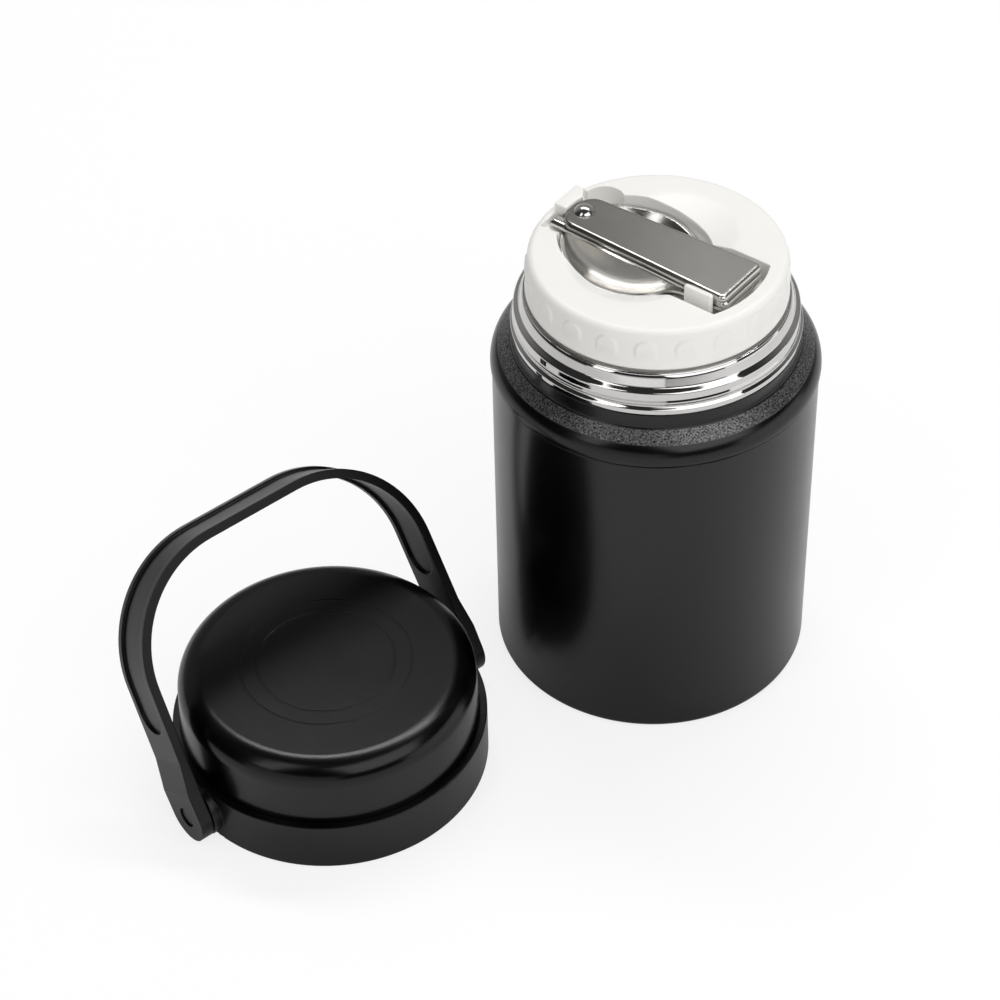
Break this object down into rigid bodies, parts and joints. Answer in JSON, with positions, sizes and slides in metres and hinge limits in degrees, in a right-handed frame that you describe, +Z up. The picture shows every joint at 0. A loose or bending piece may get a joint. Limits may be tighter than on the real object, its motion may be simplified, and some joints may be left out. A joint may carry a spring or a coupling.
{
  "type": "insulated food jar",
  "caption": "Double-walled steel food jar with a screw-in stopper that carries a folding spoon, and a separate screw-on cap with a carrying bail.",
  "frame": {"origin": "centre of the jar's base, on the surface it stands on", "axes": "+Z up along the jar's axis; +Y away from the viewer of the front; the cap stands to the front left on the same surface"},
  "size_m": [0.2032, 0.1557, 0.1511],
  "materials": {
    "black_coat": "satin black powder coat on steel",
    "polished_steel": "polished stainless steel",
    "satin_steel": "satin stainless steel",
    "spoon_steel": "polished stainless steel, satin on the handle",
    "rivet_steel": "polished stainless steel",
    "getter_metal": "dull metal",
    "seal_glass": "solder glass",
    "white_plastic": "warm white polypropylene",
    "black_plastic": "fine satin black polypropylene",
    "silicone": "translucent white silicone",
    "foam": "expanded polystyrene"
  },
  "bodies": {
    "jar": {"outer_shell": "black_coat", "neck_ring": "polished_steel", "inner_flask": "satin_steel", "vacuum_bottom": "satin_steel", "vacuum_seal": "seal_glass", "getter": "getter_metal", "base_cup": "satin_steel"},
    "stopper_seal": {"stopper_gasket": "silicone"},
    "stopper": {"stopper_top": "white_plastic", "stopper_plug": "white_plastic", "stopper_foam": "foam"},
    "spoon_link": {"spoon_link": "spoon_steel", "handle_rivet": "rivet_steel", "bowl_rivet": "rivet_steel", "handle_washer": "rivet_steel", "bowl_washer": "rivet_steel"},
    "spoon_handle": {"spoon_handle": "spoon_steel"},
    "spoon_bowl": {"spoon_bowl": "spoon_steel"},
    "cap": {"cap_dome": "black_coat", "cap_band": "black_plastic", "cap_liner": "black_plastic", "cap_foam": "foam", "pivot_pin_left": "black_plastic", "pivot_pin_right": "black_plastic"},
    "bail": {"bail": "black_plastic"}
  },
  "joints": [
    {"name": "cap_lift", "type": "slide", "parent": "jar", "child": "cap", "axis": [0, 0, 1], "range_m": [0, 0.15]},
    {"name": "bail_swing", "type": "hinge", "parent": "cap", "child": "bail", "pos_m": [-0.0954, -0.0599, 0.0085], "axis": [0.729, 0.6845, 0], "range_deg": [-59.4, 120.6]},
    {"name": "stopper_lift", "type": "slide", "parent": "jar", "child": "stopper_seal", "axis": [0, 0, 1], "range_m": [0, 0.06]},
    {"name": "stopper_turn", "type": "hinge", "parent": "stopper_seal", "child": "stopper", "pos_m": [0, 0, 0.12], "axis": [0, 0, 1], "range_deg": [0, 360]},
    {"name": "spoon_lift", "type": "slide", "parent": "stopper", "child": "spoon_link", "axis": [0, 0, 1], "range_m": [0, 0.15]},
    {"name": "handle_unfold", "type": "hinge", "parent": "spoon_link", "child": "spoon_handle", "pos_m": [-0.0213, 0.01456, 0.1484], "axis": [0, 0, 1], "range_deg": [0, 180]},
    {"name": "bowl_unfold", "type": "hinge", "parent": "spoon_link", "child": "spoon_bowl", "pos_m": [0.01858, -0.0127, 0.1454], "axis": [0, 0, 1], "range_deg": [0, 180]}
  ],
  "couplings": [
    {"joint": "handle_unfold", "follows": "spoon_lift", "rad_per_m": 20.94},
    {"joint": "bowl_unfold", "follows": "spoon_lift", "rad_per_m": 20.94}
  ]
}
